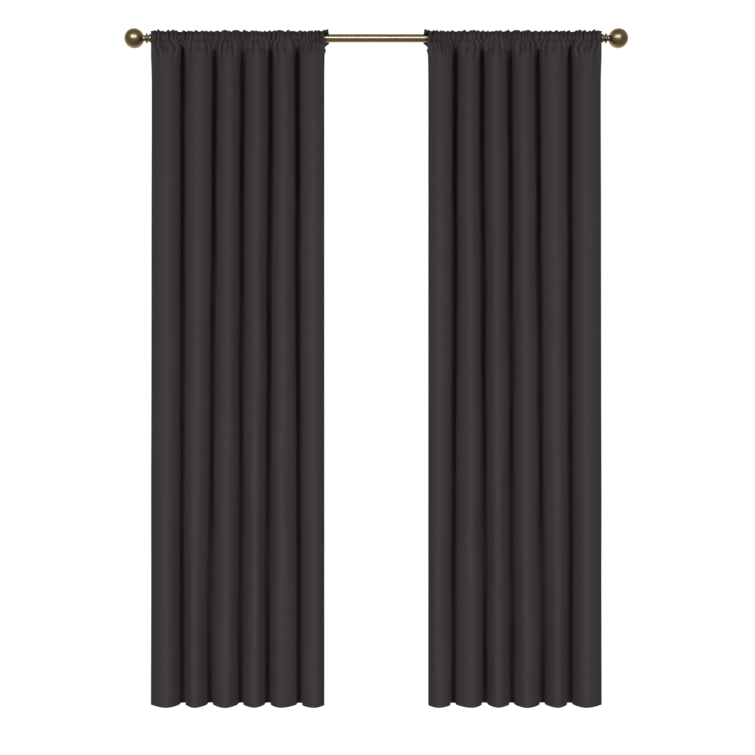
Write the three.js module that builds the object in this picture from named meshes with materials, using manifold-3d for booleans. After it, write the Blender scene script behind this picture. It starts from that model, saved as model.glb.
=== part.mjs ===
// A pair of rod-pocket window curtains on a telescoping one-inch rod with ball finials.
// Millimetres. +X runs along the rod to the right as seen from the room, +Y into the wall, +Z up.
// The origin lies on the wall plane, level with the rod's axis and midway between its ends.
import * as THREE from 'three';
import { mergeVertices } from 'three/addons/utils/BufferGeometryUtils.js';
import Module from 'manifold-3d';

const wasm = await Module();
wasm.setup();

// ---- driving dimensions ----
const clearance = 0.3; // between neighbouring pieces
const rodDiameter = 25.4;
const outerWall = 1;
const innerWall = 0.8;
const tubeOverlap = 1018; // how far one tube reaches into the other, as set
const rodLength = 1420; // as set, from tube end to tube end
const rodProjection = 89; // wall to the rod's axis

const finialDiameter = 62;
const finialOverhang = 55.3; // tube end to the ball's centre
const finialWall = 1.6; // the ball is a hollow shell
const capRadius = 14;
const capLength = 10;
const capSpigotLength = 22;
const ringRadius = 16;
const ringWidth = 5.5;
const neckRadius = 9.8;
const studRadius = 4;
const studDepthInCap = 12;
const studDepthInFinial = 24;

const plateWidth = 24;
const plateHeight = 70;
const plateThickness = 2.5;
const plateRise = 20; // top of the plate above the rod's axis
const plateCorner = 5;
const screwHoleRadius = 2.4;
const screwHoleInset = 9;
const bracketInset = 17; // tube end to the middle of the bracket
const armWidth = 12;
const armHeight = 6;
const tenonRadius = 2;
const cradleWall = 2.2;
const cradleBackWall = 5;
const cradleBackRise = 8;
const lipAngle = 33 * Math.PI / 180; // how far the cradle's front lip stops below the axis

const clampRadius = 2.5;
const clampLength = 21;
const knobRadius = 6.5;
const knobLength = 8;
const knobFlutes = 12;
const knobFluteRadius = 0.9;

const panelWidth = 542; // as hung
const panelDrop = 2134; // header's top to the hem
const panelSetback = 4; // tube end to the panel's outer edge
const clothThickness = 1.2;
const headerRise = 11.5; // header's top above the pocket's inside
const pocketDrop = 37; // rod's axis to the stitching under the pocket
const pocketWall = 2.2; // gathered cloth
const mouthLength = 24; // where the cloth at the back of the pocket stops short for the bracket
const seamHalf = 2; // half the thickness of the layers where they are sewn together
const seamOverlap = 3; // how far the sewn layers run down behind the folds
const headerSpread = 0.2; // angle on the pocket's top, each way, covered by the header
const foldWidths = [96, 95, 88, 84, 95, 84]; // relative widths, from the outer edge to the leading edge
const foldDepth = 72; // front of a fold to its back, where fully open
const foldBackRadius = 7;
const foldTopShare = 0.55; // of the fold's depth, right under the stitching
const foldOpening = 180; // length over which a fold reaches its full depth
const edgeStart = 60 * Math.PI / 180; // where the outer edge starts on the first fold's curve

// ---- sizes that follow from them ----
const outerRadius = rodDiameter / 2;
const outerBore = outerRadius - outerWall;
const innerRadius = outerBore - clearance;
const innerBore = innerRadius - innerWall;
const rodEnd = rodLength / 2;
const tubeLength = (rodLength + tubeOverlap) / 2;
const pocketInside = outerRadius + clearance;
const headerTop = pocketInside + headerRise;
const hem = headerTop - panelDrop;
const finialRadius = finialDiameter / 2;
const roundSides = 24;

// ---- materials ----
const brass = () => new THREE.MeshStandardMaterial({ color: 0x9a8456, roughness: 0.25, metalness: 1 });
const steel = () => new THREE.MeshStandardMaterial({ color: 0x8f8f8c, roughness: 0.35, metalness: 1 });
const cloth = () => new THREE.MeshStandardMaterial({ color: 0x3d3a38, roughness: 0.95, metalness: 0 });

const group = new THREE.Group();

function addMesh(name, geometry, material) {
  const mesh = new THREE.Mesh(geometry, material);
  mesh.name = name;
  group.add(mesh);
}

// ---- joining and cutting ----
function toSolid(geometry) {
  const bare = geometry.clone();
  bare.deleteAttribute('normal');
  bare.deleteAttribute('uv');
  const merged = mergeVertices(bare, 1e-4);
  const vertProperties = new Float32Array(merged.attributes.position.array);
  const triVerts = new Uint32Array(merged.index.array);
  return new wasm.Manifold(new wasm.Mesh({ numProp: 3, vertProperties, triVerts }));
}

// A mirrored copy has its x turned round, and its triangles too, so that they still face out.
function toGeometry(solid, mirrored = false) {
  const mesh = solid.getMesh();
  const points = Float32Array.from(mesh.vertProperties, (value, i) => {
    return mirrored && i % 3 === 0 ? -value : value;
  });
  const corners = mesh.triVerts.slice();
  if (mirrored) {
    corners.reverse();
  }
  const geometry = new THREE.BufferGeometry();
  geometry.setAttribute('position', new THREE.BufferAttribute(points, 3));
  geometry.setIndex(new THREE.BufferAttribute(corners, 1));
  geometry.computeVertexNormals();
  return geometry;
}

// ---- turned pieces, made about the rod's axis ----
// The profile is a list of [distance out from the tube end, radius]; side is -1 left, +1 right.
function turned(profile, side, sides = roundSides) {
  const points = profile.map(([along, radius]) => new THREE.Vector2(radius, along));
  const geometry = new THREE.LatheGeometry(points, sides);
  geometry.rotateZ(-side * Math.PI / 2);
  geometry.translate(side * rodEnd, -rodProjection, 0);
  return geometry;
}

// ---- rod ----
function tube(radius, bore, side) {
  const profile = [
    [-tubeLength, bore],
    [-tubeLength, radius],
    [0, radius],
    [0, bore],
    [-tubeLength, bore],
  ];
  return turned(profile, side);
}

addMesh('outer_tube', tube(outerRadius, outerBore, -1), brass());
addMesh('inner_tube', tube(innerRadius, innerBore, 1), brass());

// ---- end caps and finials ----
function endCap(tubeBore, side) {
  const spigot = tubeBore - clearance;
  const hole = studRadius + clearance;
  const holeEnd = capLength - studDepthInCap - clearance;
  const chamfer = 1;
  const rim = capRadius - 1.3;
  const groove = 10;
  const profile = [
    [-capSpigotLength, 0],
    [-capSpigotLength, spigot - chamfer],
    [-capSpigotLength + chamfer, spigot],
    [clearance, spigot],
    [clearance, rim],
    [2, capRadius],
    [6.5, capRadius],
    [8.5, groove + 1],
    [capLength, groove],
    [capLength, hole],
    [holeEnd, hole],
    [holeEnd, 0],
  ];
  return turned(profile, side);
}

function finial(side) {
  const start = capLength + clearance;
  const hole = studRadius + clearance;
  const ringStart = start + 2.7;
  const ringEnd = ringStart + ringWidth;
  const neckAngle = Math.asin(neckRadius / finialRadius);
  const hollowRadius = finialRadius - finialWall;
  const bossAngle = Math.asin(neckRadius / hollowRadius);
  const bands = 10;
  const profile = [];
  for (let i = bands; i >= 0; i -= 1) {
    const angle = bossAngle + (Math.PI - bossAngle) * i / bands;
    const radius = i === bands ? 0 : hollowRadius * Math.sin(angle);
    profile.push([finialOverhang - hollowRadius * Math.cos(angle), radius]);
  }
  const bossEnd = capLength + studDepthInFinial + clearance;
  profile.push(
    [bossEnd, neckRadius],
    [bossEnd, hole],
    [start, hole],
    [start, 10],
    [ringStart, 11],
    [ringStart + 0.8, ringRadius - 0.8],
    [ringStart + 1.8, ringRadius],
    [ringEnd - 1.8, ringRadius],
    [ringEnd - 0.8, ringRadius - 0.8],
    [ringEnd, neckRadius + 1],
    [ringEnd + 1.5, neckRadius],
  );
  for (let i = 0; i <= bands; i += 1) {
    const angle = neckAngle + (Math.PI - neckAngle) * i / bands;
    const radius = i === bands ? 0 : finialRadius * Math.sin(angle);
    profile.push([finialOverhang - finialRadius * Math.cos(angle), radius]);
  }
  return turned(profile, side);
}

function stud(side) {
  const inner = capLength - studDepthInCap;
  const outer = capLength + studDepthInFinial;
  const profile = [
    [inner, 0],
    [inner, studRadius],
    [outer, studRadius],
    [outer, 0],
  ];
  return turned(profile, side, 16);
}

for (const [name, side, tubeBore] of [['left', -1, outerBore], ['right', 1, innerBore]]) {
  addMesh(`${name}_end_cap`, endCap(tubeBore, side), brass());
  addMesh(`${name}_finial`, finial(side), brass());
  addMesh(`${name}_stud`, stud(side), steel());
}

// ---- wall brackets ----
// A cylinder whose axis runs into the wall, from y = from to y = to.
function wallwardCylinder(radius, from, to, x, z, sides = 20) {
  const geometry = new THREE.CylinderGeometry(radius, radius, to - from, sides);
  geometry.translate(0, (from + to) / 2, 0);
  geometry.translate(x, 0, z);
  return geometry;
}

function bracketX(side) {
  return side * (rodEnd - bracketInset);
}

function plate(side) {
  const halfWidth = plateWidth / 2;
  const top = plateRise;
  const bottom = plateRise - plateHeight;
  const shape = new THREE.Shape();
  shape.absarc(halfWidth - plateCorner, top - plateCorner, plateCorner, 0, Math.PI / 2);
  shape.absarc(-halfWidth + plateCorner, top - plateCorner, plateCorner, Math.PI / 2, Math.PI);
  shape.absarc(-halfWidth + plateCorner, bottom + plateCorner, plateCorner, Math.PI, 1.5 * Math.PI);
  shape.absarc(halfWidth - plateCorner, bottom + plateCorner, plateCorner, 1.5 * Math.PI, 2 * Math.PI);
  shape.closePath();
  const holes = [
    [top - screwHoleInset, screwHoleRadius],
    [bottom + screwHoleInset, screwHoleRadius],
    [armMiddle(side), tenonRadius + clearance],
  ];
  for (const [height, radius] of holes) {
    const hole = new THREE.Path();
    hole.absarc(0, height, radius, 0, 2 * Math.PI, true);
    shape.holes.push(hole);
  }
  const options = { depth: plateThickness, bevelEnabled: false, curveSegments: 6 };
  const geometry = new THREE.ExtrudeGeometry(shape, options);
  geometry.rotateX(Math.PI / 2);
  geometry.translate(bracketX(side), 0, 0);
  return geometry;
}

function heldRadius(side) {
  return side < 0 ? outerRadius : innerRadius;
}

function armMiddle(side) {
  return -(heldRadius(side) + clearance + cradleWall) + armHeight / 2;
}

// The arm and its cradle are one outline seen along the rod: across is towards the wall, up is up.
function arm(side) {
  const inside = heldRadius(side) + clearance;
  const outside = inside + cradleWall;
  const back = inside + cradleBackWall;
  const root = rodProjection - plateThickness - clearance;
  const lipStart = Math.PI + lipAngle;
  const shape = new THREE.Shape();
  shape.moveTo(root, -outside);
  shape.lineTo(root, -outside + armHeight);
  shape.lineTo(back, -outside + armHeight);
  shape.lineTo(back, cradleBackRise);
  shape.lineTo(inside, cradleBackRise);
  shape.absarc(0, 0, inside, 0, lipStart, true);
  shape.absarc(0, 0, outside, lipStart, 1.5 * Math.PI);
  shape.closePath();
  const options = { depth: armWidth, bevelEnabled: false, curveSegments: 6 };
  const geometry = new THREE.ExtrudeGeometry(shape, options);
  // shape x -> world y, shape y -> world z, extrusion -> world x
  geometry.rotateX(Math.PI / 2);
  geometry.rotateZ(Math.PI / 2);
  geometry.translate(bracketX(side) - armWidth / 2, -rodProjection, 0);
  const wallEnd = -clearance;
  const tenonStart = -plateThickness - clearance - 2;
  const tenon = wallwardCylinder(tenonRadius, tenonStart, wallEnd, bracketX(side), armMiddle(side));
  const holeStart = -rodProjection + inside - 3;
  const holeEnd = -rodProjection + back + 1;
  const hole = wallwardCylinder(clampRadius + clearance, holeStart, holeEnd, bracketX(side), 0);
  return toGeometry(toSolid(geometry).add(toSolid(tenon)).subtract(toSolid(hole)));
}

function clampShank(side) {
  const tip = -rodProjection + heldRadius(side) + clearance;
  return wallwardCylinder(clampRadius, tip, tip + clampLength, bracketX(side), 0, 12);
}

// A knob with rounded flutes round its rim and a blind hole for its shank.
function clampKnob(side) {
  const shape = new THREE.Shape();
  const steps = 4;
  for (let i = 0; i < knobFlutes * steps; i += 1) {
    const angle = 2 * Math.PI * i / (knobFlutes * steps);
    const radius = knobRadius - knobFluteRadius * (0.5 - 0.5 * Math.cos(angle * knobFlutes));
    const point = [radius * Math.cos(angle), radius * Math.sin(angle)];
    if (i === 0) {
      shape.moveTo(...point);
    } else {
      shape.lineTo(...point);
    }
  }
  shape.closePath();
  const options = { depth: knobLength, bevelEnabled: false };
  const geometry = new THREE.ExtrudeGeometry(shape, options);
  geometry.rotateX(Math.PI / 2);
  const tip = -rodProjection + heldRadius(side) + clearance;
  const knobEnd = tip + clampLength + 2;
  geometry.translate(bracketX(side), knobEnd, 0);
  const holeEnd = tip + clampLength + clearance;
  const hole = wallwardCylinder(clampRadius + clearance, tip, holeEnd, bracketX(side), 0, 12);
  return toGeometry(toSolid(geometry).subtract(toSolid(hole)));
}

for (const [name, side] of [['left', -1], ['right', 1]]) {
  addMesh(`${name}_bracket_plate`, plate(side), brass());
  addMesh(`${name}_bracket_arm`, arm(side), brass());
  addMesh(`${name}_clamp_shank`, clampShank(side), steel());
  addMesh(`${name}_clamp_knob`, clampKnob(side), brass());
}

// ---- curtain folds ----
// A fold seen from above runs from its back, round its front, to its back again: a quarter turn,
// a half ellipse and a quarter turn. Each is a point at share s (0 to 1) of the way across.
// Across is 0 to width; away is measured towards the wall from the rod's axis, at full depth.
function foldPoint(s, width, startsAtEdge) {
  const back = foldDepth / 2;
  const halfFront = width / 2 - foldBackRadius;
  const frontDepth = foldDepth - foldBackRadius;
  const turn = 0.14; // share of the way taken by each quarter turn
  if (s > 1 - turn) {
    const angle = (1 - s) / turn * Math.PI / 2;
    const across = width - foldBackRadius * Math.sin(angle);
    return [across, back - foldBackRadius * (1 - Math.cos(angle))];
  }
  if (startsAtEdge) {
    const angle = edgeStart + (Math.PI - edgeStart) * s / (1 - turn);
    const reach = Math.cos(angle) < 0 ? halfFront : width / 2 / Math.cos(edgeStart);
    const away = back - foldBackRadius - frontDepth * Math.sin(angle);
    return [width / 2 - reach * Math.cos(angle), away];
  }
  if (s < turn) {
    const angle = s / turn * Math.PI / 2;
    return [foldBackRadius * Math.sin(angle), back - foldBackRadius * (1 - Math.cos(angle))];
  }
  const angle = Math.PI * (s - turn) / (1 - 2 * turn);
  const away = back - foldBackRadius - frontDepth * Math.sin(angle);
  return [width / 2 - halfFront * Math.cos(angle), away];
}

function depthShare(z) {
  const below = Math.min(1, Math.max(0, (-pocketDrop - z) / foldOpening));
  const eased = below * below * (3 - 2 * below);
  return foldTopShare + (1 - foldTopShare) * eased;
}

// A flat strip of cloth, bent into one fold: its columns follow foldPoint and its rows hang down.
function foldCloth(x0, width, startsAtEdge) {
  const columns = 12;
  const rows = 5;
  const geometry = new THREE.BoxGeometry(1, clothThickness, 1, columns, 1, rows);
  const position = geometry.attributes.position;
  const drop = -pocketDrop - hem;
  const step = 1e-3;
  for (let i = 0; i < position.count; i += 1) {
    const s = position.getX(i) + 0.5;
    const offset = position.getY(i);
    const down = 0.5 - position.getZ(i);
    const z = -pocketDrop - drop * down ** 3;
    const depth = depthShare(z);
    const [across, away] = foldPoint(s, width, startsAtEdge);
    const [a0, b0] = foldPoint(Math.max(0, s - step), width, startsAtEdge);
    const [a1, b1] = foldPoint(Math.min(1, s + step), width, startsAtEdge);
    const along = new THREE.Vector2(a1 - a0, (b1 - b0) * depth).normalize();
    const x = x0 + across - along.y * offset;
    const y = -rodProjection + away * depth + along.x * offset;
    position.setXYZ(i, x, y, z);
  }
  return geometry;
}

// Outlines of the pocket and header seen along the rod: across is towards the wall, up is up.
function sleeveOutline() {
  const outside = pocketInside + pocketWall;
  const tipAngle = Math.asin((outside - seamHalf) / pocketDrop);
  const bottom = -pocketDrop - seamOverlap;
  const shape = new THREE.Shape();
  shape.absarc(0, 0, outside, -tipAngle, Math.PI / 2 - headerSpread);
  shape.lineTo(seamHalf, headerTop);
  shape.lineTo(-seamHalf, headerTop);
  shape.absarc(0, 0, outside, Math.PI / 2 + headerSpread, Math.PI + tipAngle);
  shape.lineTo(-seamHalf, -pocketDrop);
  shape.lineTo(-seamHalf, bottom);
  shape.lineTo(seamHalf, bottom);
  shape.lineTo(seamHalf, -pocketDrop);
  shape.closePath();
  const hollowTip = pocketDrop - 2 * seamHalf;
  const hollowAngle = Math.asin(pocketInside / hollowTip);
  const hollow = new THREE.Path();
  hollow.absarc(0, 0, pocketInside, -hollowAngle, Math.PI + hollowAngle);
  hollow.lineTo(0, -hollowTip);
  hollow.closePath();
  shape.holes.push(hollow);
  return shape;
}

// At the panel's outer edge only the front layer and the header pass the wall bracket.
function mouthOutline() {
  const outside = pocketInside + pocketWall;
  const flat = pocketInside + clearance;
  const bottom = -pocketDrop - seamOverlap;
  const shape = new THREE.Shape();
  shape.moveTo(seamHalf, headerTop);
  shape.lineTo(-seamHalf, headerTop);
  shape.absarc(0, 0, outside, Math.PI / 2 + headerSpread, Math.PI);
  shape.lineTo(-outside, bottom);
  shape.lineTo(-flat, bottom);
  shape.lineTo(-flat, 0);
  shape.absarc(0, 0, pocketInside, Math.PI, Math.PI / 2, true);
  shape.lineTo(seamHalf, pocketInside);
  shape.closePath();
  return shape;
}

function alongRod(shape, x0, length) {
  const options = { depth: length, bevelEnabled: false, curveSegments: 6 };
  const geometry = new THREE.ExtrudeGeometry(shape, options);
  geometry.rotateX(Math.PI / 2);
  geometry.rotateZ(Math.PI / 2);
  geometry.translate(x0, -rodProjection, 0);
  return geometry;
}

// One fold of the left panel with its stretch of pocket and header.
function fold(x0, width, startsAtEdge) {
  const hanging = toSolid(foldCloth(x0, width, startsAtEdge));
  if (!startsAtEdge) {
    return hanging.add(toSolid(alongRod(sleeveOutline(), x0, width)));
  }
  const lap = 1;
  const mouth = toSolid(alongRod(mouthOutline(), x0, mouthLength + lap));
  const sleeve = toSolid(alongRod(sleeveOutline(), x0 + mouthLength, width - mouthLength));
  return hanging.add(mouth).add(sleeve);
}

const widthUnits = foldWidths.reduce((sum, width) => sum + width, 0);
let foldStart = -rodEnd + panelSetback;
foldWidths.forEach((units, i) => {
  const pitch = panelWidth * units / widthUnits;
  const x0 = foldStart + (i === 0 ? 0 : clearance / 2);
  const x1 = foldStart + pitch - clearance / 2;
  const solid = fold(x0, x1 - x0, i === 0);
  addMesh(`left_fold_${i + 1}`, toGeometry(solid), cloth());
  addMesh(`right_fold_${i + 1}`, toGeometry(solid, true), cloth());
  foldStart += pitch;
});

export default group;
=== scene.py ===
import math

import bpy
import numpy as np
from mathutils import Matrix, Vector


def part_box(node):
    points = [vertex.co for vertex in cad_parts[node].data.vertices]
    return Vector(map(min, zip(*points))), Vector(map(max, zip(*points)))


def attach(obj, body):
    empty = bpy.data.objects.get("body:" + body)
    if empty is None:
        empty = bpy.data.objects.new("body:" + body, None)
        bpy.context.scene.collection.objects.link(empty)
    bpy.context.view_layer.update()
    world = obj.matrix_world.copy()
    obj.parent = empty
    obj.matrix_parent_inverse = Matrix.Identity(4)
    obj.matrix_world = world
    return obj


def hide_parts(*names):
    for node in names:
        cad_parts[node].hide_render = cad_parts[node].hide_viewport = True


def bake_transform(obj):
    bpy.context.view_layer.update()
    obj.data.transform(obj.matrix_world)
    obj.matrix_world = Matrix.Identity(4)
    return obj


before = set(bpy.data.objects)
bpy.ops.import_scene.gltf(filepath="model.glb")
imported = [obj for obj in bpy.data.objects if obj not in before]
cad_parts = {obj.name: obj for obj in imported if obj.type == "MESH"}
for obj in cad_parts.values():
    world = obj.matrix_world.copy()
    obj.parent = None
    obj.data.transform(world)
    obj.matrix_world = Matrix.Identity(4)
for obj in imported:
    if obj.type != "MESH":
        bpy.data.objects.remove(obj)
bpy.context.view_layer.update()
bpy.ops.object.select_all(action="DESELECT")


# ---- Camera and studio ----
# A plain white studio with a pale floor just under the hems. Two soft lights stand low in front, one
# on each side, and one behind. A long softbox is seen only as a reflection. The camera stands
# straight in front, half way down the drop.

MM = 0.001
rod_low, rod_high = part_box("outer_tube")
rod_y = (rod_low[1] + rod_high[1]) / 2
rod_z = (rod_low[2] + rod_high[2]) / 2
cloth_low, cloth_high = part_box("left_fold_3")
hem_z = cloth_low[2]
header_z = cloth_high[2]

camera_distance = 4.4
camera_below_rod = 1.073
camera_aside = 0.0038
seen_width = 2.388
camera_data = bpy.data.cameras.new("camera")
camera_data.sensor_width = 36
camera_data.lens = camera_data.sensor_width * camera_distance / seen_width
camera = bpy.data.objects.new("camera", camera_data)
camera.location = (camera_aside, rod_y - camera_distance, rod_z - camera_below_rod)
camera.rotation_euler = (math.pi / 2, 0, 0)
bpy.context.collection.objects.link(camera)
bpy.context.scene.camera = camera
bpy.context.scene.view_settings.view_transform = "Standard"


def set_input(node, name, value):
    node.inputs[name].default_value = value


world = bpy.data.worlds.new("studio")
bpy.context.scene.world = world
world.use_nodes = True
nodes = world.node_tree.nodes
links = world.node_tree.links
nodes.clear()
path = nodes.new("ShaderNodeLightPath")
seen = nodes.new("ShaderNodeBackground")
set_input(seen, "Color", (1, 1, 1, 1))
set_input(seen, "Strength", 1.05)
room = nodes.new("ShaderNodeBackground")
set_input(room, "Color", (0.93, 0.96, 1, 1))
set_input(room, "Strength", 0.12)
glossy_room = nodes.new("ShaderNodeBackground")
set_input(glossy_room, "Color", (1, 0.9, 0.72, 1))
direction = nodes.new("ShaderNodeTexCoord")
split = nodes.new("ShaderNodeSeparateXYZ")
behind_brighter = nodes.new("ShaderNodeMapRange")
for socket, value in (("From Min", 0.1), ("From Max", 0.8), ("To Min", 0.24), ("To Max", 0.95)):
    set_input(behind_brighter, socket, value)
links.new(direction.outputs["Generated"], split.inputs[0])
links.new(split.outputs["Y"], behind_brighter.inputs["Value"])
links.new(behind_brighter.outputs["Result"], glossy_room.inputs["Strength"])
pick_glossy = nodes.new("ShaderNodeMixShader")
links.new(path.outputs["Is Glossy Ray"], pick_glossy.inputs[0])
links.new(room.outputs[0], pick_glossy.inputs[1])
links.new(glossy_room.outputs[0], pick_glossy.inputs[2])
pick = nodes.new("ShaderNodeMixShader")
out = nodes.new("ShaderNodeOutputWorld")
links.new(path.outputs["Is Camera Ray"], pick.inputs[0])
links.new(pick_glossy.outputs[0], pick.inputs[1])
links.new(seen.outputs[0], pick.inputs[2])
links.new(pick.outputs[0], out.inputs["Surface"])


def soft_light(name, place, target, size, power):
    light = bpy.data.lights.new(name, "AREA")
    light.shape = "RECTANGLE"
    light.size, light.size_y = size
    light.energy = power
    lamp = bpy.data.objects.new(name, light)
    lamp.location = place
    lamp.rotation_euler = (Vector(target) - Vector(place)).to_track_quat("-Z", "Y").to_euler()
    bpy.context.collection.objects.link(lamp)
    return lamp


softbox = soft_light("softbox", (-0.4, -3.8, 0.7), (0, rod_y, rod_z), (4.4, 1.7), 104)
softbox.visible_diffuse = False
lower_half = (0, rod_y, -1.5)
for side_name, side in (("left", -1), ("right", 1)):
    place = (side * 2.2, -4.2, -1.6)
    front_light = soft_light(f"{side_name}_front_light", place, lower_half, (2.0, 1.6), 164)
    front_light.visible_glossy = False
middle = (0, rod_y, (hem_z + header_z) / 2)
back_light = soft_light("back_light", (0.8, 3.6, 0.6), middle, (2.6, 2.4), 260)
back_light.visible_glossy = False

floor_gap = 60 * MM
bpy.ops.mesh.primitive_plane_add(size=14, location=(0, 0, hem_z - floor_gap))
floor = bpy.context.object
floor.name = "floor"
floor_paint = bpy.data.materials.new("floor_paint")
floor_paint.use_nodes = True
floor_shader = floor_paint.node_tree.nodes["Principled BSDF"]
set_input(floor_shader, "Base Color", (0.06, 0.06, 0.06, 1))
set_input(floor_shader, "Roughness", 0.9)
set_input(floor_shader, "Emission Color", (1, 1, 1, 1))
set_input(floor_shader, "Emission Strength", 1.0)
floor.data.materials.append(floor_paint)
floor.visible_glossy = False
floor.visible_diffuse = False
floor.select_set(False)


# ---- Shared shop practice: antique brass ----
# Rod, end caps, finials, brackets and knobs are brass-plated steel, darkened and then relieved by
# hand: bright and brown patches wander over each piece, and its polish varies in finer ones. The
# plating on turned and pressed parts is faintly dimpled.

def new_material(name):
    material = bpy.data.materials.new(name)
    material.use_nodes = True
    tree = material.node_tree
    shader = tree.nodes["Principled BSDF"]
    return material, tree, shader


def noise(tree, coordinates, scale, detail=3, roughness=0.5):
    node = tree.nodes.new("ShaderNodeTexNoise")
    set_input(node, "Scale", scale)
    set_input(node, "Detail", detail)
    set_input(node, "Roughness", roughness)
    tree.links.new(coordinates, node.inputs["Vector"])
    return node.outputs["Fac"]


def ramp(tree, value, stops):
    node = tree.nodes.new("ShaderNodeValToRGB")
    while len(node.color_ramp.elements) < len(stops):
        node.color_ramp.elements.new(0.5)
    for element, (position, colour) in zip(node.color_ramp.elements, stops):
        element.position = position
        element.color = (*colour, 1)
    tree.links.new(value, node.inputs["Fac"])
    return node.outputs["Color"]


def stretched(tree, coordinates, scale):
    node = tree.nodes.new("ShaderNodeMapping")
    set_input(node, "Scale", scale)
    tree.links.new(coordinates, node.inputs["Vector"])
    return node.outputs["Vector"]


def bump(tree, height, strength, distance, onto=None):
    node = tree.nodes.new("ShaderNodeBump")
    set_input(node, "Strength", strength)
    set_input(node, "Distance", distance)
    tree.links.new(height, node.inputs["Height"])
    if onto is not None:
        tree.links.new(onto, node.inputs["Normal"])
    return node.outputs["Normal"]


def brass_material(name, bright, dark, patches, rough, dimples=0):
    """Patches are counted per metre along each axis."""
    material, tree, shader = new_material(name)
    place = tree.nodes.new("ShaderNodeTexCoord").outputs["Object"]
    place = stretched(tree, place, patches)
    cloud = noise(tree, place, 1, 4, 0.6)
    tree.links.new(ramp(tree, cloud, [(0.3, dark), (0.62, bright)]), shader.inputs["Base Color"])
    polish = ramp(tree, noise(tree, place, 2.4, 3), [(0.3, (rough[0],) * 3), (0.75, (rough[1],) * 3)])
    tree.links.new(polish, shader.inputs["Roughness"])
    if dimples:
        hollows = noise(tree, place, 3, 3)
        tree.links.new(bump(tree, hollows, dimples, 0.001), shader.inputs["Normal"])
    set_input(shader, "Metallic", 1.0)
    return material


antique_brass = brass_material(
    "antique_brass", (0.41, 0.33, 0.215), (0.26, 0.2, 0.12), (38, 38, 38), (0.24, 0.42), dimples=0.3
)


# ---- Rod ----
# Two thin-walled drawn tubes, the right one sliding in the left one, plated more evenly than the
# turned parts. The saw-cut ends are lightly broken, and the larger tube's mouth is hidden in the
# right panel's pocket.

tube_walls = {"outer_tube": 1.0 * MM, "inner_tube": 0.8 * MM}
tube_brass = brass_material(
    "tube_brass", (0.38, 0.315, 0.21), (0.36, 0.3, 0.2), (2, 30, 30), (0.26, 0.28)
)


def shade_turned(piece, angle=35):
    bpy.ops.object.select_all(action="DESELECT")
    piece.select_set(True)
    bpy.context.view_layer.objects.active = piece
    bpy.ops.object.shade_smooth_by_angle(angle=math.radians(angle))
    piece.select_set(False)


def apply_modifiers(piece):
    bpy.context.view_layer.objects.active = piece
    for modifier in list(piece.modifiers):
        bpy.ops.object.modifier_apply(modifier=modifier.name)


for node, body in (("outer_tube", "rod"), ("inner_tube", "inner_rod")):
    low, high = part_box(node)
    bpy.ops.mesh.primitive_cylinder_add(
        vertices=72,
        radius=(high[2] - low[2]) / 2,
        depth=high[0] - low[0],
        end_fill_type="NOTHING",
        location=((low[0] + high[0]) / 2, rod_y, rod_z),
        rotation=(0, math.pi / 2, 0),
    )
    tube = bpy.context.object
    tube.name = f"{node}_polished"
    bpy.ops.object.transform_apply(location=True, rotation=True, scale=True)
    wall = tube.modifiers.new("wall", "SOLIDIFY")
    wall.thickness = tube_walls[node]
    wall.offset = -1
    broken = tube.modifiers.new("broken_edge", "BEVEL")
    broken.width = 0.25 * MM
    broken.segments = 2
    broken.limit_method = "ANGLE"
    broken.angle_limit = math.radians(60)
    apply_modifiers(tube)
    tube.data.materials.append(tube_brass)
    shade_turned(tube)
    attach(tube, body)
    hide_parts(node)


# ---- End caps and finials ----
# Each end has a turned cap, plugged into the tube, and a spun ball finial with a ringed neck that
# screws onto it. Both are turned here the way a lathe does: one ring after another along the axis.

tube_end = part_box("inner_tube")[1][0]


def turn(name, side, profile, sides=72):
    """Extrudes a circle through (distance out from the tube end, radius) and closes both poles."""
    first_along, first_radius = profile[0]
    bpy.ops.mesh.primitive_circle_add(
        vertices=sides,
        radius=first_radius * MM,
        location=(side * (tube_end + first_along * MM), rod_y, rod_z),
        rotation=(0, math.pi / 2, 0),
    )
    piece = bpy.context.object
    piece.name = name
    bpy.ops.object.transform_apply(location=True, rotation=True, scale=True)
    bpy.ops.object.mode_set(mode="EDIT")
    bpy.ops.mesh.select_all(action="SELECT")
    for (along, radius), (next_along, next_radius) in zip(profile, profile[1:]):
        step = side * (next_along - along) * MM
        bpy.ops.mesh.extrude_region_move(TRANSFORM_OT_translate={"value": (step, 0, 0)})
        share = next_radius / radius
        centre = (side * (tube_end + next_along * MM), rod_y, rod_z)
        bpy.ops.transform.resize(value=(1, share, share), center_override=centre)
    bpy.ops.mesh.select_all(action="SELECT")
    bpy.ops.mesh.remove_doubles(threshold=0.02 * MM)
    bpy.ops.mesh.normals_make_consistent(inside=False)
    bpy.ops.object.mode_set(mode="OBJECT")
    piece.data.materials.append(antique_brass)
    shade_turned(piece, 50)
    return piece


def bead(start, width, root, crown, steps=7):
    """A half-round ring: from the root radius up over the crown and back."""
    points = []
    for i in range(steps + 1):
        angle = math.pi * i / steps
        along = start + width * (1 - math.cos(angle)) / 2
        points.append((along, root + (crown - root) * math.sin(angle)))
    return points


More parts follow.
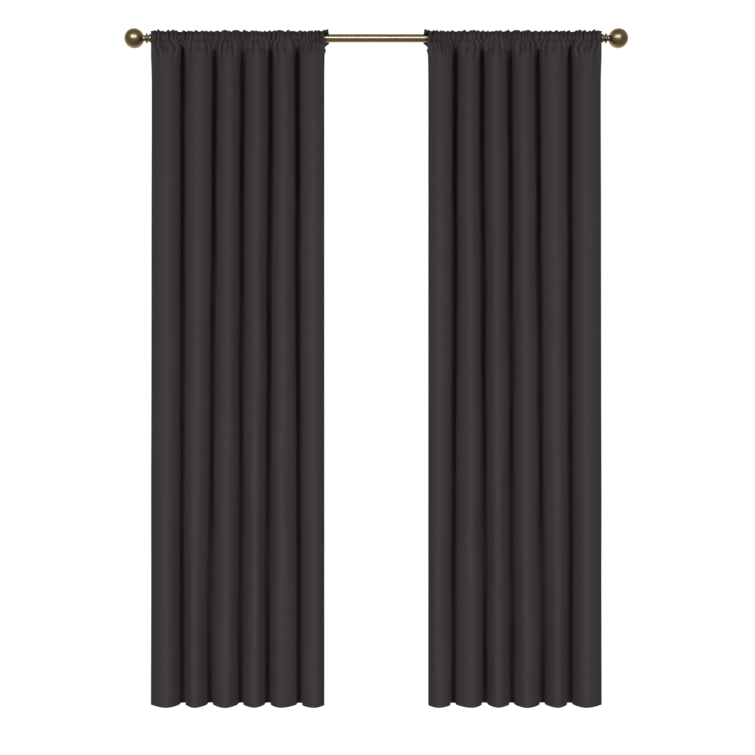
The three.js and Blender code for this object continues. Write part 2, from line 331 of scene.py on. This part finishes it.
POLE = 0.001
ball_radius = (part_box("left_finial")[1][1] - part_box("left_finial")[0][1]) / 2 / MM + 0.2
ball_centre = (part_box("right_finial")[1][0] - tube_end) / MM - ball_radius
neck_radius = 9.6
cap_profile = [(-22, POLE), (-22, 8.2), (-21, 9.8), (0.3, 9.8), (0.3, 12.4), (1.0, 13.4)]
cap_profile += bead(1.2, 5.6, 13.4, 14.2)[1:]
cap_profile += [(7.6, 12.6), (8.4, 11.2), (9.2, 10.4), (10, 10), (10, 4.3), (-2.3, 4.3), (-2.3, POLE)]
ball_points = []
ball_steps = 34
neck_angle = math.asin(neck_radius / ball_radius)
for i in range(ball_steps + 1):
    angle = neck_angle + (math.pi - neck_angle) * i / ball_steps
    radius = max(POLE, ball_radius * math.sin(angle))
    ball_points.append((ball_centre - ball_radius * math.cos(angle), radius))
finial_profile = [(34, POLE), (34, 4.3), (10.3, 4.3), (10.3, 9.8), (11.2, 10), (12.4, 10.6)]
finial_profile += bead(13.0, 5.5, 11.5, 16.1, 10)
finial_profile += [(19.2, 10.4), (20.2, neck_radius), (22.6, neck_radius - 0.2)]
finial_profile += [(ball_points[0][0] - 1.2, neck_radius)] + ball_points

for side_name, side, body in (("left", -1, "rod"), ("right", 1, "inner_rod")):
    cap = turn(f"{side_name}_end_cap_turned", side, cap_profile)
    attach(cap, body)
    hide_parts(f"{side_name}_end_cap")
    finial = turn(f"{side_name}_finial_spun", side, finial_profile)
    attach(finial, f"{side_name}_finial")
    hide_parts(f"{side_name}_finial")


# ---- Screws ----
# Zinc-plated steel: the threaded studs in the finials and the shanks of the clamp screws. The fine
# rolled thread is only a few tenths of a millimetre deep, so it is left to the surface's relief.

def zinc_material(name, thread_axis, pitch):
    material, tree, shader = new_material(name)
    place = tree.nodes.new("ShaderNodeTexCoord").outputs["Object"]
    cloud = noise(tree, place, 160, 4)
    tone = ramp(tree, cloud, [(0.3, (0.33, 0.33, 0.32)), (0.7, (0.52, 0.52, 0.5))])
    tree.links.new(tone, shader.inputs["Base Color"])
    thread = tree.nodes.new("ShaderNodeTexWave")
    thread.bands_direction = thread_axis
    set_input(thread, "Scale", math.pi / 10 / pitch)
    tree.links.new(place, thread.inputs["Vector"])
    grain = bump(tree, cloud, 0.1, 0.0002)
    tree.links.new(bump(tree, thread.outputs["Fac"], 0.8, 0.0004, grain), shader.inputs["Normal"])
    set_input(shader, "Metallic", 1.0)
    set_input(shader, "Roughness", 0.36)
    return material


stud_zinc = zinc_material("stud_zinc", "X", 1.25 * MM)
clamp_zinc = zinc_material("clamp_zinc", "Y", 0.8 * MM)
for side_name in ("left", "right"):
    for node, zinc in ((f"{side_name}_stud", stud_zinc), (f"{side_name}_clamp_shank", clamp_zinc)):
        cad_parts[node].data.materials.clear()
        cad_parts[node].data.materials.append(zinc)


# ---- Brackets and clamp knobs ----
# Pressed plates, bent and riveted arms with open cradles, and fluted knobs, plated like the finials.
# Tumbling before plating leaves every edge a little round.

def tumbled(node, body, edge_width):
    """The node's shape with its edges eased."""
    shape = bpy.data.objects.new(f"{node}_tumbled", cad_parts[node].data.copy())
    bpy.context.collection.objects.link(shape)
    bpy.ops.object.select_all(action="DESELECT")
    bpy.context.view_layer.objects.active = shape
    shape.select_set(True)
    bpy.ops.object.mode_set(mode="EDIT")
    bpy.ops.mesh.select_all(action="SELECT")
    bpy.ops.mesh.remove_doubles(threshold=0.005 * MM)
    bpy.ops.mesh.dissolve_limited(angle_limit=math.radians(0.5))
    bpy.ops.object.mode_set(mode="OBJECT")
    eased = shape.modifiers.new("eased_edges", "BEVEL")
    eased.width = edge_width
    eased.segments = 3
    eased.limit_method = "ANGLE"
    eased.angle_limit = math.radians(35)
    apply_modifiers(shape)
    shape.data.materials.clear()
    shape.data.materials.append(antique_brass)
    shade_turned(shape, 32)
    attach(shape, body)
    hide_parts(node)


for side_name in ("left", "right"):
    tumbled(f"{side_name}_bracket_plate", "wall_brackets", 0.5 * MM)
    tumbled(f"{side_name}_bracket_arm", "wall_brackets", 0.45 * MM)
    tumbled(f"{side_name}_clamp_knob", f"{side_name}_clamp_knob", 0.25 * MM)


# ---- Curtain panels ----
# Each panel is one cloth, 42 in wide when finished, with the sides turned back an inch, the foot
# turned up and the top turned over into a rod pocket with a short standing header. Gathered to
# half its width on the rod, it hangs in six deep folds.

flat_width = 1067 * MM
side_turn = 25 * MM
hem_turn = 88 * MM
cloth = 0.9 * MM
lap = 1.3 * MM
stitch_z = -37 * MM
drop = stitch_z - hem_z
hung_width = 545 * MM
outer_edge = 709.5 * MM


def smooth(t):
    t = np.clip(t, 0, 1)
    return t * t * (3 - 2 * t)


def wander(x, seed, length):
    """A smooth wandering value between about -1 and 1, the same on every run."""
    generator = np.random.default_rng(seed)
    phases = generator.uniform(0, 2 * math.pi, 4)
    total = 0
    for k, phase in enumerate(phases):
        total = total + np.sin(2 * math.pi * x / length * (0.6 + 0.55 * k) + phase) / (1 + 0.6 * k)
    return total / 2


# The folds seen from above. Each is a rounded roof standing on a narrow gap that runs back to the
# wall side; towards the foot the roofs get deeper and the gaps shallower. "valleys" are measured
# from the panel's outer edge.

fold_count = 6
fold_depth = 72 * MM
roof_curve = 1.7
top_fold = {
    "valleys": [0, 97 * MM, 199 * MM, 286 * MM, 375 * MM, 460 * MM, hung_width],
    "lean": [0.04, 0.02, 0.05, 0.06, 0.0, 0.08],
    "roofs": [34 * MM, 33 * MM, 33 * MM, 34 * MM, 32 * MM, 28 * MM],
    "gap": 20 * MM,
    "softness": 4.5 * MM,
}
foot_fold = {
    "valleys": [-5 * MM, 95 * MM, 180 * MM, 279 * MM, 364 * MM, 466 * MM, hung_width],
    "lean": [0.05, 0.0, 0.07, 0.06, -0.06, 0.14],
    "roofs": [47 * MM, 45 * MM, 47 * MM, 46 * MM, 44 * MM, 38 * MM],
    "gap": 18 * MM,
    "softness": 5 * MM,
}


def panel_section(shape, starts=None):
    """The whole panel seen from above: length along the cloth, across and away. Each fold takes the
    same stretch of cloth in every section, given by the lengths at which the folds start."""
    valleys = shape["valleys"]
    half_gap = shape["gap"] / 2
    wallward = fold_depth / 2
    corners = []
    valley_corners = [0]
    for k in range(fold_count):
        at_outer_edge = k == 0
        at_inner_edge = k == fold_count - 1
        low = valleys[k] + (0 if at_outer_edge else half_gap)
        high = valleys[k + 1] - (0 if at_inner_edge else half_gap)
        crest = valleys[k] + (0.5 + shape["lean"][k]) * (valleys[k + 1] - valleys[k])
        if not at_outer_edge:
            corners.append((low, wallward))
        for across in np.linspace(low, high, 41):
            reach = (crest - low) if across < crest else (high - crest)
            roof = shape["roofs"][k] * abs((across - crest) / reach) ** roof_curve
            corners.append((across, roof - wallward))
        if not at_inner_edge:
            corners += [(high, wallward), (valleys[k + 1], wallward)]
        valley_corners.append(len(corners) - 1)
    corners = np.array(corners)
    corner_run = np.concatenate([[0], np.cumsum(np.hypot(*np.diff(corners, axis=0).T))])
    step = 1 * MM
    run = np.arange(0, corner_run[-1] + step, step)
    spread = int(4 * shape["softness"] / step)
    weights = np.exp(-0.5 * (np.arange(-spread, spread + 1) * step / shape["softness"]) ** 2)
    weights /= weights.sum()
    rounded = []
    for column in range(2):
        line = np.interp(run, corner_run, corners[:, column])
        before = 2 * line[0] - line[spread:0:-1]
        after = 2 * line[-1] - line[-2:-spread - 2:-1]
        rounded.append(np.convolve(np.concatenate([before, line, after]), weights, "valid"))
    across, away = rounded
    length = np.concatenate([[0], np.cumsum(np.hypot(np.diff(across), np.diff(away)))])
    valley_lengths = np.interp(corner_run[valley_corners], run, length)
    if starts is None:
        starts = valley_lengths * flat_width / valley_lengths[-1]
    return starts, np.interp(length, valley_lengths, starts), across, away


fold_starts, top_length, top_across, top_away = panel_section(top_fold)
_, foot_length, foot_across, foot_away = panel_section(foot_fold, fold_starts)


def gathered_across(u):
    """Where the cloth lies along the rod, shirred evenly within each fold's width."""
    return np.interp(u, fold_starts, top_fold["valleys"])


def valley_nearness(u):
    """0 at the middle of a fold and 1 where two folds meet."""
    number = np.clip(np.searchsorted(fold_starts, u, side="right") - 1, 0, fold_count - 1)
    share = (u - fold_starts[number]) / (fold_starts[number + 1] - fold_starts[number])
    return np.abs(2 * share - 1)


folds_start_z = -9 * MM
shirring_spreads_over = 44 * MM
folds_deepen_over = 62 * MM


def smooth_cloth(u, z):
    """Across and away of the cloth without its shirring, from flat on the rod to fully folded."""
    under_rod = folds_start_z - z + 4 * MM * wander(u, 51, 0.4)
    share_down = np.clip((stitch_z - z) / drop, 0, 1)
    relaxed = smooth(share_down * 1.1) * (0.85 + 0.15 * wander(z + 3 * u, 31, 1.5))
    across_full = (1 - relaxed) * np.interp(u, top_length, top_across)
    across_full = across_full + relaxed * np.interp(u, foot_length, foot_across)
    away_full = (1 - relaxed) * np.interp(u, top_length, top_away)
    away_full = away_full + relaxed * np.interp(u, foot_length, foot_away)
    spread = smooth(under_rod / shirring_spreads_over)
    deepen = 1 - (1 - np.clip(under_rod / folds_deepen_over, 0, 1)) ** 2
    across = (1 - spread) * gathered_across(u) + spread * across_full
    away = deepen * away_full * (1 + 0.07 * wander(z + 2 * u, 41, 1.2) * share_down)
    hanging_free = smooth((stitch_z - z) / 0.35)
    ripple = 1.8 * MM * wander(z + 0.7 * u, 3, 1.1) + 1.5 * MM * wander(u + 0.3 * z, 11, 0.3)
    sway = 2 * MM * wander(z + u, 21, 0.9) + 1.2 * MM * wander(z + 4 * u, 22, 0.5)
    inside = np.sin(math.pi * u / flat_width)
    return across + hanging_free * inside * sway, away + hanging_free * ripple


def cloth_with_facing(u, z):
    """The smooth cloth and the way its front faces."""
    across, away = smooth_cloth(u, z)
    step = 0.6 * MM
    across_on, away_on = smooth_cloth(np.minimum(u + step, flat_width), z)
    across_off, away_off = smooth_cloth(np.maximum(u - step, 0), z)
    run = np.hypot(across_on - across_off, away_on - away_off)
    return across, away, (away_on - away_off) / run, (across_off - across_on) / run


# Shirring. The casing takes up twice the rod's length of cloth in small ruffles: rounded ridges with
# sharp creases between them, no two alike, tallest beside the valleys.

ruffle_pitch = 28 * MM
ruffle_height = 17 * MM
ruffle_base = 0.4
casing_share = 1.1
most_ruffles = 80


def ruffle_phase(u):
    near_edge = smooth((u - 0.9 * flat_width) / (0.1 * flat_width))
    turns = u / ruffle_pitch + 0.75 * wander(u, 5, 0.26) + 0.2 * wander(u, 6, 0.08) + 1.6 * near_edge
    return math.pi * turns


def ruffle(u):
    """The shirring's height, 0 in a crease and up to about 1 on a ridge, and how far each ridge
    leans over its neighbour."""
    phase = ruffle_phase(u)
    number = np.clip(np.floor(phase / math.pi + 0.5).astype(int), 0, most_ruffles - 1)
    generator = np.random.default_rng(8)
    height = np.abs(np.cos(phase)) ** 0.95 * generator.uniform(0.45, 1.2, most_ruffles)[number]
    lean = 11 * MM * height * generator.uniform(-1, 1, most_ruffles)[number]
    return height, lean * smooth(u / (60 * MM)) * smooth((flat_width - u) / (60 * MM))


def edge_hold(u):
    """The stitched side edges keep straight: ruffles beside them spread sideways less."""
    return smooth(u / (30 * MM)) * (0.3 + 0.7 * smooth((flat_width - u) / (40 * MM)))


def cloth_columns(count):
    """Lengths along the cloth, closer together round the creases."""
    fine = np.linspace(0, flat_width, 8001)
    crowding = 1 + 2.6 * np.exp(-((np.cos(ruffle_phase(fine)) / 0.35) ** 2))
    total = np.concatenate([[0], np.cumsum((crowding[1:] + crowding[:-1]) / 2)])
    return np.interp(np.linspace(0, total[-1], count), total, fine)


def round_bracket(across, away, z):
    """Holds the front clear of the bracket that comes in behind the panel's outer edge."""
    beside = 1 - smooth((across - 22 * MM) / (30 * MM))
    level = (1 - smooth((stitch_z - 12 * MM - z) / (95 * MM))) * (1 - smooth((z - 2 * MM) / (8 * MM)))
    hold = beside * level
    return away * (1 - hold) + np.minimum(away, -15.6 * MM) * hold


seam_gap = 1.3 * MM


def hanging(u, z):
    """A point of the cloth below the casing, as across, away and height."""
    below = stitch_z - z
    across, away, out_across, out_away = cloth_with_facing(u, z)
    nearness = valley_nearness(u) ** 2
    fade = np.exp(-below / (13 * MM + 30 * MM * nearness)) * (1 - smooth((below - 70 * MM) / (80 * MM)))
    ridge, lean = ruffle(u)
    height = ruffle_height * (ridge - ruffle_base) * fade * (1 - 0.45 * nearness) + seam_gap * fade
    away = round_bracket(across, away + out_away * height, z)
    flare = 4 * MM * smooth((u - 0.9 * flat_width) / (0.1 * flat_width)) * (1 - smooth(below / (20 * MM)))
    sideways = out_across * height * edge_hold(u)
    return across + sideways + lean * fade * (1 - nearness) + flare, away, z


casing_radius = 14.2 * MM
header_out = 4 * MM
header_seam_z = math.sqrt(casing_radius ** 2 - header_out ** 2)
header_top = header_z - 0.5 * MM
header_dip = 3.4 * MM
inner_flare = 13 * MM
outer_header_flare = 4 * MM
bracket_notch = 26 * MM


def casing_profile(front):
    """The casing and header seen along the rod, from the stitching up: out from the middle, up, and
    the direction in which ruffles stand off it."""
    tip_angle = math.asin(casing_radius / -stitch_z)
    tangent_out = casing_radius * math.cos(tip_angle)
    tangent_up = -casing_radius * math.sin(tip_angle)
    points = []
    for t in np.arange(9) / 9:
        out = seam_gap + (tangent_out - seam_gap) * t
        points.append((out, stitch_z + (tangent_up - stitch_z) * t, 1, 0))
    top_angle = math.acos(header_out / casing_radius)
    for angle in np.linspace(-tip_angle, top_angle, 12):
        out, up = casing_radius * math.cos(angle), casing_radius * math.sin(angle)
        upright = 0.6 * max(0, math.sin(angle))
        points.append((out, up, 1 - upright, upright))
    for t in np.arange(1, 7) / 6:
        out = seam_gap + (header_out - seam_gap) * (1 - t) ** 3
        points.append((out, header_seam_z + (header_top - 0.6 * MM - header_seam_z) * t, 1, 0))
    return points if front else points[::-1]


def casing(u, out, up, stand_out, stand_up, front):
    """A point of the rod casing or header. The back is drawn in at the outer end, for the bracket,
    and both layers spread a little beyond the stitching at the inner end."""
    level = np.full_like(u, up)
    across, away, out_across, out_away = cloth_with_facing(u, level)
    height, lean = ruffle(u)
    loose = smooth((up - stitch_z - 2 * MM) / (16 * MM)) * (1 - smooth((up - 11.3 * MM) / (2.4 * MM)))
    nearness = valley_nearness(u) ** 2 * smooth((-11 * MM - up) / (20 * MM))
    sewn = ruffle_height * (height - ruffle_base) * (1 - 0.45 * nearness)
    facing = 1 if front else -1
    crowded = height * (0.6 + 0.6 * valley_nearness(u))
    ruffled = stand_out * loose * casing_share * ruffle_height * crowded
    reach = facing * (out + ruffled) + (1 - loose) * sewn
    across = across + out_across * reach * edge_hold(u) + lean * (1 - nearness)
    away = away + out_away * reach
    from_edge = smooth((across - (hung_width - 70 * MM)) / (70 * MM))
    rise = smooth((up - 8 * MM) / (14 * MM))
    if not front:
        rise = np.maximum(smooth((up - stitch_z) / (26 * MM)), rise)
    flare = inner_flare * from_edge * rise
    beside_outer_edge = 1 - smooth(across / (60 * MM))
    flare = flare - outer_header_flare * beside_outer_edge * smooth((up - 13.5 * MM) / (7 * MM))
    if front:
        away = round_bracket(across, away, level)
    else:
        below_header = 1 - smooth((up - 12 * MM) / (11 * MM))
        back_in = bracket_notch * (1 - smooth((across - 5 * MM) / (110 * MM))) * below_header
        across = across + back_in
        away = away + 0.55 * back_in * smooth((-6 * MM - up) / (22 * MM))
    dip = header_dip * (0.75 - height) * smooth((up - header_seam_z) / (8 * MM))
    up = up + stand_up * loose * casing_share * ruffle_height * height - dip
    return across + flare, away, up


def panel_grid():
    """Rows of (across, away, up) from the foot up the front, over the header and down the back of
    the casing, with the distance of each row from the foot."""
    u = cloth_columns(336)
    levels = [hem_z + high * MM for high in (0, 2, 8, 30, 58, 84, 88, 92, 120)]
    start = levels[-1] + 40 * MM
    levels += [start + (stitch_z - start) * (1 - (1 - t) ** 2) for t in np.linspace(0, 1, 43)[:-1]]
    rows = [np.stack(hanging(u, np.full_like(u, z)), 1) for z in levels]
    lengths = [z - hem_z for z in levels]
    front = casing_profile(True)
    back = casing_profile(False)
    lengths.append(stitch_z - hem_z)
    rows.append(np.stack(casing(u, *front[0], True), 1))
    for last, point in zip(front, front[1:]):
        lengths.append(lengths[-1] + math.hypot(point[0] - last[0], point[1] - last[1]))
        rows.append(np.stack(casing(u, *point, True), 1))
    top = (rows[-1] + np.stack(casing(u, *back[0], False), 1)) / 2
    top[:, 2] += 0.5 * MM
    rows.append(top)
    lengths.append(lengths[-1] + seam_gap)
    rows.append(np.stack(casing(u, *back[0], False), 1))
    lengths.append(lengths[-1] + seam_gap)
    for last, point in zip(back, back[1:]):
        lengths.append(lengths[-1] + math.hypot(point[0] - last[0], point[1] - last[1]))
        rows.append(np.stack(casing(u, *point, False), 1))
    return u, np.array(rows), np.array(lengths)


def turned_edges(u, grid, lengths):
    """Adds the turned-up foot and the turned-back sides, each lying just behind the front."""
    step_up = np.gradient(grid, axis=0)
    step_in = np.gradient(grid, axis=1)
    behind = np.cross(step_up, step_in)
    behind /= np.linalg.norm(behind, axis=2, keepdims=True)
    inwards = step_in / np.linalg.norm(step_in, axis=2, keepdims=True)
    hem_rows = [i for i in range(1, len(grid)) if lengths[i] <= hem_turn]
    foot = [grid[i] + behind[i] * lap for i in reversed(hem_rows)]
    foot_lengths = [-lengths[i] - 2 * MM for i in reversed(hem_rows)]
    foot.append(grid[0] + behind[0] * lap * 0.5 + np.array([0, 0, -0.5 * MM]))
    foot_lengths.append(-1 * MM)
    full = np.concatenate([np.array(foot), grid])
    behind = np.concatenate([behind[list(reversed(hem_rows))], behind[:1], behind])
    inwards = np.concatenate([inwards[list(reversed(hem_rows))], inwards[:1], inwards])
    all_lengths = np.concatenate([foot_lengths, lengths])
    turn_columns = [j for j in range(1, grid.shape[1]) if u[j] <= side_turn]
    pieces = []
    widths = []
    for j in reversed(turn_columns):
        pieces.append(full[:, j] + behind[:, j] * lap)
        widths.append(-u[j])
    pieces.append(full[:, 0] + behind[:, 0] * lap * 0.5 - inwards[:, 0] * 0.5 * MM)
    widths.append(-0.5 * MM)
    pieces += [full[:, j] for j in range(full.shape[1])]
    widths += list(u)
    pieces.append(full[:, -1] + behind[:, -1] * lap * 0.5 + inwards[:, -1] * 0.5 * MM)
    widths.append(flat_width + 0.5 * MM)
    for j in turn_columns:
        pieces.append(full[:, -1 - j] + behind[:, -1 - j] * lap)
        widths.append(flat_width + u[j])
    return np.stack(pieces, 1), np.array(widths), all_lengths


panel_u, panel_rows, panel_lengths = panel_grid()
panel_points, panel_widths, panel_heights = turned_edges(panel_u, panel_rows, panel_lengths)


def sheet_mesh(name, side, points, widths, heights):
    rows, columns = points.shape[:2]
    flat = points.reshape(-1, 3)
    x = side * (outer_edge - flat[:, 0])
    places = np.stack([x, rod_y + flat[:, 1], rod_z + flat[:, 2]], 1)
    index = np.arange(rows * columns).reshape(rows, columns)
    quads = np.stack([index[:-1, :-1], index[:-1, 1:], index[1:, 1:], index[1:, :-1]], -1).reshape(-1, 4)
    if side > 0:
        quads = quads[:, ::-1]
    mesh = bpy.data.meshes.new(name)
    mesh.from_pydata(places.tolist(), [], quads.tolist())
    uv = mesh.uv_layers.new(name="cloth")
    flat_uv = np.stack(np.broadcast_arrays(widths[None, :], heights[:, None]), -1).reshape(-1, 2)
    corners = np.empty(len(mesh.loops), int)
    mesh.loops.foreach_get("vertex_index", corners)
    uv.data.foreach_set("uv", flat_uv[corners].ravel())
    mesh.update()
    piece = bpy.data.objects.new(name, mesh)
    bpy.context.collection.objects.link(piece)
    return piece


charcoal, cloth_tree, cloth_shader = new_material("charcoal_weave")
cloth_uv = cloth_tree.nodes.new("ShaderNodeUVMap")
cloth_uv.uv_map = "cloth"
cloth_place = cloth_uv.outputs["UV"]
slub = noise(cloth_tree, stretched(cloth_tree, cloth_place, (9, 260, 1)), 1, 4, 0.55)
warp_streak = noise(cloth_tree, stretched(cloth_tree, cloth_place, (420, 5, 1)), 1, 3, 0.5)
both = cloth_tree.nodes.new("ShaderNodeMath")
both.operation = "MULTIPLY_ADD"
cloth_tree.links.new(slub, both.inputs[0])
both.inputs[1].default_value = 0.6
scaled = cloth_tree.nodes.new("ShaderNodeMath")
scaled.operation = "MULTIPLY"
cloth_tree.links.new(warp_streak, scaled.inputs[0])
scaled.inputs[1].default_value = 0.4
cloth_tree.links.new(scaled.outputs[0], both.inputs[2])
cloth_stops = [
    (0.25, (0.037, 0.032, 0.0308)),
    (0.5, (0.0435, 0.0376, 0.0362)),
    (0.78, (0.051, 0.0442, 0.0427)),
]
cloth_tree.links.new(ramp(cloth_tree, both.outputs[0], cloth_stops), cloth_shader.inputs["Base Color"])


def thread_wave(direction, pitch):
    node = cloth_tree.nodes.new("ShaderNodeTexWave")
    node.bands_direction = direction
    set_input(node, "Scale", 1 / pitch / 20 * 2 * math.pi)
    set_input(node, "Distortion", 0.6)
    set_input(node, "Detail", 1)
    set_input(node, "Detail Scale", 2)
    cloth_tree.links.new(cloth_place, node.inputs["Vector"])
    return node.outputs["Fac"]


thread_pitch = 1.1 * MM
weave = cloth_tree.nodes.new("ShaderNodeMath")
weave.operation = "MAXIMUM"
cloth_tree.links.new(thread_wave("X", thread_pitch), weave.inputs[0])
cloth_tree.links.new(thread_wave("Y", thread_pitch), weave.inputs[1])
slub_relief = bump(cloth_tree, both.outputs[0], 0.45, 0.0006)
weave_relief = bump(cloth_tree, weave.outputs[0], 0.6, 0.0002, slub_relief)
cloth_tree.links.new(weave_relief, cloth_shader.inputs["Normal"])
set_input(cloth_shader, "Roughness", 0.92)
set_input(cloth_shader, "Sheen Weight", 0.02)
set_input(cloth_shader, "Sheen Roughness", 0.5)
set_input(cloth_shader, "Sheen Tint", (0.75, 0.72, 0.7, 1))
set_input(cloth_shader, "Specular IOR Level", 0.15)

for side_name, side in (("left", -1), ("right", 1)):
    panel = sheet_mesh(f"{side_name}_panel", side, panel_points, panel_widths, panel_heights)
    panel.data.materials.append(charcoal)
    thickness = panel.modifiers.new("thickness", "SOLIDIFY")
    thickness.thickness = cloth
    thickness.offset = 0
    apply_modifiers(panel)
    panel.data.polygons.foreach_set("use_smooth", [True] * len(panel.data.polygons))
    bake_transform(panel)
    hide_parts(*[f"{side_name}_fold_{k}" for k in range(1, 7)])


# ---- Stitching ----
# Lockstitch in a thread a little lighter than the cloth: along the casing's foot and the header,
# along the top of the hem and down both side turnings. Each stitch dips into the cloth at its ends.

thread_radius = 0.24 * MM
stitch_pitch = 4 * MM
stitch_reach = 3.3 * MM


def outward(points):
    """The way the cloth's outer face looks at each point of the grid."""
    facing = -np.cross(np.gradient(points, axis=0), np.gradient(points, axis=1))
    return facing / np.linalg.norm(facing, axis=2, keepdims=True)


def stitch_run(path, facing):
    """Ten points a stitch: an end, two rings of four, an end."""
    run = np.concatenate([[0], np.cumsum(np.linalg.norm(np.diff(path, axis=0), axis=1))])
    starts = np.arange(2 * MM, run[-1] - stitch_pitch, stitch_pitch)

    def at(distance, values):
        return np.stack([np.interp(distance, run, values[:, axis]) for axis in range(3)], 1)

    places = [at(starts + share * stitch_reach, path) for share in (0, 0.3, 0.7, 1)]
    normals = at(starts + 0.5 * stitch_reach, facing)
    normals /= np.linalg.norm(normals, axis=1, keepdims=True)
    sideways = np.cross(places[3] - places[0], normals)
    sideways /= np.linalg.norm(sideways, axis=1, keepdims=True)
    sunk = normals * (cloth / 2 - 0.12 * MM)
    raised = normals * (cloth / 2 + 0.08 * MM)
    points = [places[0] + sunk]
    for place in places[1:3]:
        for up, across in ((1, 0), (0, 1), (-1, 0), (0, -1)):
            points.append(place + raised + (normals * up + sideways * across) * thread_radius)
    points.append(places[3] + sunk)
    return np.stack(points, 1)


def nearest_row(distance):
    return int(np.argmin(np.abs(panel_heights - distance)))


def nearest_column(distance):
    return int(np.argmin(np.abs(panel_widths - distance)))


panel_facing = outward(panel_points)
casing_foot = stitch_z - hem_z
first_column = nearest_column(3 * MM)
last_column = nearest_column(flat_width - 3 * MM)
fold_over = nearest_row(casing_foot + 0.5 * (panel_heights[-1] - casing_foot))
header_rise = header_top - header_seam_z
stitched_rows = [nearest_row(casing_foot + 1 * MM), len(panel_heights) - 2]
stitched_rows += [nearest_row(panel_heights[fold_over] - header_rise - 1 * MM)]
stitched_rows += [nearest_row(panel_heights[fold_over] + header_rise + 1 * MM)]
stitched_rows += [nearest_row(hem_turn - 4 * MM), nearest_row(-hem_turn + 2 * MM)]
stitch_sets = []
for row in stitched_rows:
    columns = slice(first_column, last_column + 1)
    stitch_sets.append(stitch_run(panel_points[row, columns], panel_facing[row, columns]))
from_turning = side_turn - 2 * MM
for distance in (from_turning, -from_turning, flat_width - from_turning, flat_width + from_turning):
    column = nearest_column(distance)
    rows = slice(nearest_row(4 * MM), nearest_row(casing_foot) + 1)
    stitch_sets.append(stitch_run(panel_points[rows, column], panel_facing[rows, column]))
stitch_points = np.concatenate(stitch_sets)

thread_grey, thread_tree, thread_shader = new_material("thread_grey")
thread_place = thread_tree.nodes.new("ShaderNodeTexCoord").outputs["Object"]
thread_tone = noise(thread_tree, thread_place, 900, 2)
thread_stops = [(0.35, (0.045, 0.04, 0.038)), (0.65, (0.075, 0.067, 0.064))]
thread_tree.links.new(ramp(thread_tree, thread_tone, thread_stops), thread_shader.inputs["Base Color"])
thread_tree.links.new(bump(thread_tree, thread_tone, 0.3, 0.0001), thread_shader.inputs["Normal"])
set_input(thread_shader, "Roughness", 0.75)
set_input(thread_shader, "Specular IOR Level", 0.25)

stitch_faces = [(0, 1 + (k + 1) % 4, 1 + k) for k in range(4)]
stitch_faces += [(1 + k, 1 + (k + 1) % 4, 5 + (k + 1) % 4, 5 + k) for k in range(4)]
stitch_faces += [(5 + k, 5 + (k + 1) % 4, 9) for k in range(4)]

for side_name, side in (("left", -1), ("right", 1)):
    flat = stitch_points.reshape(-1, 3)
    places = np.stack([side * (outer_edge - flat[:, 0]), rod_y + flat[:, 1], rod_z + flat[:, 2]], 1)
    faces = []
    for first in range(0, len(flat), 10):
        for corners in stitch_faces:
            faces.append([first + corner for corner in (corners if side < 0 else corners[::-1])])
    stitch_mesh = bpy.data.meshes.new(f"{side_name}_stitching")
    stitch_mesh.from_pydata(places.tolist(), [], faces)
    stitch_mesh.update()
    stitching = bpy.data.objects.new(f"{side_name}_stitching", stitch_mesh)
    bpy.context.collection.objects.link(stitching)
    stitching.data.materials.append(thread_grey)
    stitching.data.polygons.foreach_set("use_smooth", [True] * len(stitching.data.polygons))
    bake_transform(stitching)
